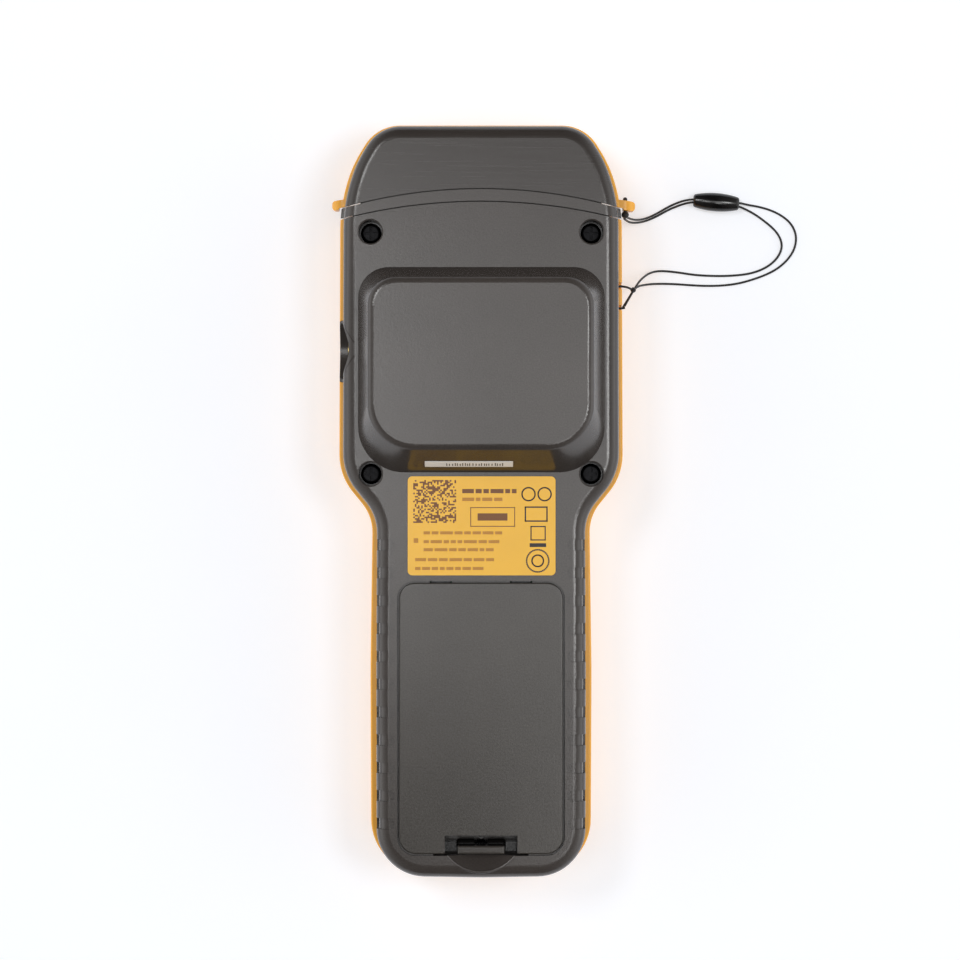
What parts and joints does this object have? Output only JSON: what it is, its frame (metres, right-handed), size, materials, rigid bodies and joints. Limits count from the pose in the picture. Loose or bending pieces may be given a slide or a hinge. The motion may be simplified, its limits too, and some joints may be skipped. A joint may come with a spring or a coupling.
{
  "type": "moisture meter",
  "caption": "Hand-held pin and pinless moisture meter lying face down: two-shell case, slide-off pin cap, battery door with latch, side probe port and wrist tether.",
  "frame": {"origin": "middle of the footprint (tether left out) on the surface that the meter lies on, display side down", "axes": "+X to the tether's side, +Y along the meter towards the pins and cap, +Z out of the back, through the raised sensor housing"},
  "size_m": [0.1255, 0.1992, 0.046],
  "materials": {
    "yellow_shell": "semi-gloss moulded ABS, amber yellow",
    "grey_shell": "matte, fine spark texture, warm dark grey",
    "cap_grey": "smooth satin, warm dark grey",
    "dark_trim": "satin dark grey",
    "black_plastic": "satin black",
    "steel": "bright steel",
    "black_steel": "black oxide steel",
    "brass": "plated brass",
    "label_yellow": "printed polyester label",
    "label_white": "printed paper label",
    "cell_wrap": "printed plastic sleeve",
    "wire_red": "PVC insulation",
    "panel_black": "hard-coated printed overlay",
    "window_glass": "clear hard-coated acrylic over a grey-green display",
    "lcd": "display glass",
    "silicone": "silicone rubber",
    "circuit_board": "green solder mask",
    "copper": "tinned copper",
    "foam": "closed-cell foam",
    "ribbon": "flat ribbon cable",
    "cord": "thin braided black cord",
    "bead": "glossy black bead",
    "key_rubber": "moulded key, satin"
  },
  "bodies": {
    "body": {"front_shell": "yellow_shell", "back_shell": "grey_shell", "collar": "dark_trim", "nose_block": "black_plastic", "pin_left": "steel", "pin_right": "steel", "pin_collets": "brass", "case_screws": "black_steel", "rating_label": "label_yellow", "serial_sticker": "label_white", "battery_cell_left": "cell_wrap", "battery_cell_right": "cell_wrap", "contact_springs": "steel", "contact_plates": "steel", "battery_leads": "wire_red", "front_panel": "panel_black", "display_window": "window_glass", "lcd_module": "lcd", "lcd_frame": "black_plastic", "keypad_mat": "silicone", "main_board": "circuit_board", "board_chips": "black_plastic", "board_screws": "steel", "buzzer": "black_plastic", "sensor_board": "circuit_board", "sensor_screws": "steel", "sensor_coil": "copper", "sensor_foam": "foam", "sensor_ribbon": "ribbon", "port_surround": "dark_trim", "probe_socket": "brass", "tether_hitch": "cord", "tether_outer_strand": "cord", "tether_inner_strand": "cord"},
    "cap": {"cap_front": "yellow_shell", "cap_back": "cap_grey", "tether_cap_knot": "cord", "tether_bead": "bead"},
    "door": {"battery_door": "grey_shell", "door_foam": "foam", "latch_pin": "black_steel", "latch_spring": "black_steel"},
    "latch": {"battery_latch": "dark_trim"},
    "key_ok": {"key_ok": "key_rubber"},
    "key_power": {"key_power": "key_rubber"},
    "key_menu": {"key_menu": "key_rubber"},
    "key_up": {"key_up": "key_rubber"},
    "key_down": {"key_down": "key_rubber"},
    "key_left": {"key_left": "key_rubber"},
    "key_right": {"key_right": "key_rubber"}
  },
  "joints": [
    {"name": "cap_slide", "type": "slide", "parent": "body", "child": "cap", "axis": [0, 1, 0], "range_m": [0, 0.03], "deforming": ["tether_outer_strand", "tether_inner_strand"]},
    {"name": "door_hinge", "type": "hinge", "parent": "body", "child": "door", "pos_m": [0, -0.0211, 0.034], "axis": [-1, 0, 0], "range_deg": [0, 75]},
    {"name": "latch_pivot", "type": "hinge", "parent": "door", "child": "latch", "pos_m": [0, -0.0902, 0.0265], "axis": [-1, 0, 0], "range_deg": [0, 16], "stiffness_Nm_per_rad": 0.02, "springref_deg": -8.59},
    {"name": "key_ok_press", "type": "slide", "parent": "body", "child": "key_ok", "axis": [0, 0, 1], "range_m": [0, 0.0006], "stiffness_N_per_m": 500, "springref_m": -0.0004},
    {"name": "key_power_press", "type": "slide", "parent": "body", "child": "key_power", "axis": [0, 0, 1], "range_m": [0, 0.0006], "stiffness_N_per_m": 500, "springref_m": -0.0004},
    {"name": "key_menu_press", "type": "slide", "parent": "body", "child": "key_menu", "axis": [0, 0, 1], "range_m": [0, 0.0006], "stiffness_N_per_m": 500, "springref_m": -0.0004},
    {"name": "key_up_press", "type": "slide", "parent": "body", "child": "key_up", "axis": [0, 0, 1], "range_m": [0, 0.0006], "stiffness_N_per_m": 500, "springref_m": -0.0004},
    {"name": "key_down_press", "type": "slide", "parent": "body", "child": "key_down", "axis": [0, 0, 1], "range_m": [0, 0.0006], "stiffness_N_per_m": 500, "springref_m": -0.0004},
    {"name": "key_left_press", "type": "slide", "parent": "body", "child": "key_left", "axis": [0, 0, 1], "range_m": [0, 0.0006], "stiffness_N_per_m": 500, "springref_m": -0.0004},
    {"name": "key_right_press", "type": "slide", "parent": "body", "child": "key_right", "axis": [0, 0, 1], "range_m": [0, 0.0006], "stiffness_N_per_m": 500, "springref_m": -0.0004}
  ]
}
